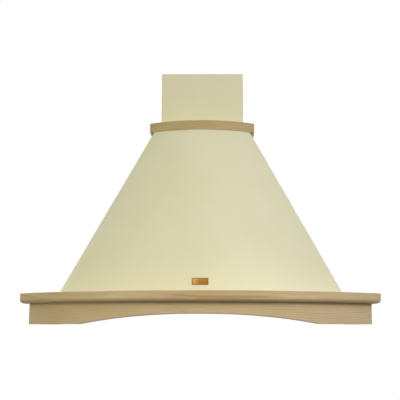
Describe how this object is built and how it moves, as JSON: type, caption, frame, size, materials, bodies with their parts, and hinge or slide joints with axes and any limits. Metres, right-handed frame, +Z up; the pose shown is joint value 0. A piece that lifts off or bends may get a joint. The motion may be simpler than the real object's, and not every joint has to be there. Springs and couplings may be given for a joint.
{
  "type": "range hood",
  "caption": "Wall-mounted range hood: bow-fronted cream steel dome on a wooden cornice with an arched apron, sliding chimney cover, hinged grease filters and a centrifugal blower.",
  "frame": {"origin": "on the wall plane, in the middle of the steel back's lower edge", "axes": "+X along the wall, +Y into the wall, +Z up; the bow front faces -Y"},
  "size_m": [0.9, 0.5, 0.6808],
  "materials": {
    "beech": "clear satin varnish over light beech",
    "cream_enamel": "smooth cream enamel, satin",
    "galvanised_steel": "zinc-coated sheet",
    "brushed_steel": "fine brushed",
    "screw_steel": "bright zinc",
    "brass_plate": "satin, bare",
    "filter_aluminium": "pressed sheet",
    "mesh_aluminium": "layered mesh",
    "latch_steel": "polished",
    "lamp_glass": "frosted lightly",
    "bulb_glass": "pressed reflector",
    "black_plastic": "fine grained",
    "button_plastic": "smooth",
    "casing_plastic": "moulded",
    "motor_metal": "grey paint",
    "capacitor_plastic": "smooth",
    "grommet_rubber": "moulded"
  },
  "bodies": {
    "hood": {"cornice_front": "beech", "cornice_left": "beech", "cornice_right": "beech", "apron_front": "beech", "apron_left": "beech", "apron_right": "beech", "corner_blocks": "beech", "ring_front": "beech", "ring_left": "beech", "ring_right": "beech", "dome_shell": "cream_enamel", "neck_plate": "cream_enamel", "back_panel": "galvanised_steel", "deck_plate": "galvanised_steel", "deck_braces": "galvanised_steel", "filter_hooks": "galvanised_steel", "motor_spider": "galvanised_steel", "base_pan": "brushed_steel", "lamp_bezel_left": "brushed_steel", "lamp_bezel_right": "brushed_steel", "frame_screws": "screw_steel", "ring_screws": "screw_steel", "deck_screws": "screw_steel", "flap_pin": "screw_steel", "front_plate": "brass_plate", "lamp_glass_left": "lamp_glass", "lamp_glass_right": "lamp_glass", "lamp_bulbs": "bulb_glass", "lamp_holders": "black_plastic", "switch_bezel": "black_plastic", "switch_body": "black_plastic", "terminal_box": "black_plastic", "scroll_left": "casing_plastic", "scroll_right": "casing_plastic", "inlet_rings": "casing_plastic", "duct_collar": "casing_plastic", "motor_body": "motor_metal", "capacitor": "capacitor_plastic", "cable_grommet": "grommet_rubber"},
    "rotor": {"fan_wheel": "casing_plastic", "motor_shaft": "screw_steel"},
    "flap_left": {"flap_left": "filter_aluminium"},
    "flap_right": {"flap_right": "filter_aluminium"},
    "filter_left": {"filter_frame_left": "filter_aluminium", "filter_mesh_left": "mesh_aluminium", "filter_rod_left": "screw_steel"},
    "filter_right": {"filter_frame_right": "filter_aluminium", "filter_mesh_right": "mesh_aluminium", "filter_rod_right": "screw_steel"},
    "latch_left": {"filter_latch_left": "latch_steel"},
    "latch_right": {"filter_latch_right": "latch_steel"},
    "chimney": {"chimney_cover": "cream_enamel", "chimney_bracket": "galvanised_steel", "chimney_screws": "screw_steel"},
    "button_1": {"button_1": "button_plastic"},
    "button_2": {"button_2": "button_plastic"},
    "button_3": {"button_3": "button_plastic"},
    "button_4": {"button_4": "button_plastic"},
    "button_5": {"button_5": "button_plastic"}
  },
  "joints": [
    {"name": "fan_spin", "type": "hinge", "parent": "hood", "child": "rotor", "pos_m": [0, -0.15, 0.145], "axis": [1, 0, 0], "continuous": true},
    {"name": "flap_left_turn", "type": "hinge", "parent": "hood", "child": "flap_left", "pos_m": [0, -0.1075, 0.2795], "axis": [0, 1, 0], "range_deg": [0, 75]},
    {"name": "flap_right_turn", "type": "hinge", "parent": "hood", "child": "flap_right", "pos_m": [0, -0.1075, 0.2795], "axis": [0, -1, 0], "range_deg": [0, 75]},
    {"name": "filter_left_drop", "type": "hinge", "parent": "hood", "child": "filter_left", "pos_m": [-0.141, -0.04, 0.004], "axis": [1, 0, 0], "range_deg": [0, 75]},
    {"name": "filter_right_drop", "type": "hinge", "parent": "hood", "child": "filter_right", "pos_m": [0.141, -0.04, 0.004], "axis": [1, 0, 0], "range_deg": [0, 75]},
    {"name": "latch_left_slide", "type": "slide", "parent": "filter_left", "child": "latch_left", "axis": [0, 1, 0], "range_m": [0, 0.006], "stiffness_N_per_m": 400},
    {"name": "latch_right_slide", "type": "slide", "parent": "filter_right", "child": "latch_right", "axis": [0, 1, 0], "range_m": [0, 0.006], "stiffness_N_per_m": 400},
    {"name": "chimney_slide", "type": "slide", "parent": "hood", "child": "chimney", "axis": [0, 0, 1], "range_m": [0, 0.18]},
    {"name": "button_1_press", "type": "slide", "parent": "hood", "child": "button_1", "axis": [0, 0, 1], "range_m": [0, 0.003], "stiffness_N_per_m": 400},
    {"name": "button_2_press", "type": "slide", "parent": "hood", "child": "button_2", "axis": [0, 0, 1], "range_m": [0, 0.003], "stiffness_N_per_m": 400},
    {"name": "button_3_press", "type": "slide", "parent": "hood", "child": "button_3", "axis": [0, 0, 1], "range_m": [0, 0.003], "stiffness_N_per_m": 400},
    {"name": "button_4_press", "type": "slide", "parent": "hood", "child": "button_4", "axis": [0, 0, 1], "range_m": [0, 0.003], "stiffness_N_per_m": 400},
    {"name": "button_5_press", "type": "slide", "parent": "hood", "child": "button_5", "axis": [0, 0, 1], "range_m": [0, 0.003], "stiffness_N_per_m": 400}
  ]
}
